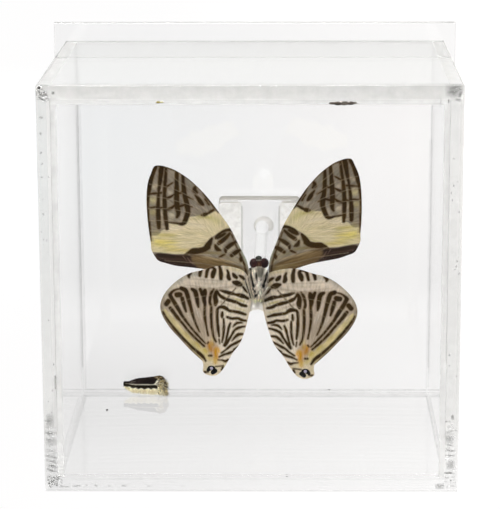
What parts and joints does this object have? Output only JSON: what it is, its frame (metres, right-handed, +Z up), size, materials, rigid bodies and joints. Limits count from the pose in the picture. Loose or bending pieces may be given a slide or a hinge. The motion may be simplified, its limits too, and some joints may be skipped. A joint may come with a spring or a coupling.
{
  "type": "mounted butterfly in clear acrylic case",
  "caption": "Butterfly held on a clear rod inside a clear square acrylic case with a larger back plate, its underside facing the front and its loose abdomen on the case floor.",
  "frame": {"origin": "middle of the footprint, at the level of the surface that the case stands on", "axes": "+X to the viewer's right, +Y into the case from its front face to its back plate, +Z up"},
  "size_m": [0.115, 0.0852, 0.1125],
  "materials": {
    "case_acrylic": "clear cast acrylic sheet, polished faces, sawn and eased edges",
    "foam_tape": "clear double-sided foam tape, whitish with trapped bubbles",
    "wing_scales": "dry scaled membrane, cream with dark brown stripes",
    "body_hair": "dark chitin under grey and cream hair"
  },
  "bodies": {
    "root": {"front_panel": "case_acrylic", "left_wall": "case_acrylic", "right_wall": "case_acrylic", "top_wall": "case_acrylic", "bottom_wall": "case_acrylic", "back_plate": "case_acrylic", "mounting_block": "case_acrylic", "support_rod": "case_acrylic", "left_tape_strip": "foam_tape", "right_tape_strip": "foam_tape", "body": "body_hair", "left_forewing": "wing_scales", "right_forewing": "wing_scales", "left_hindwing": "wing_scales", "right_hindwing": "wing_scales", "abdomen": "body_hair"}
  },
  "joints": []
}
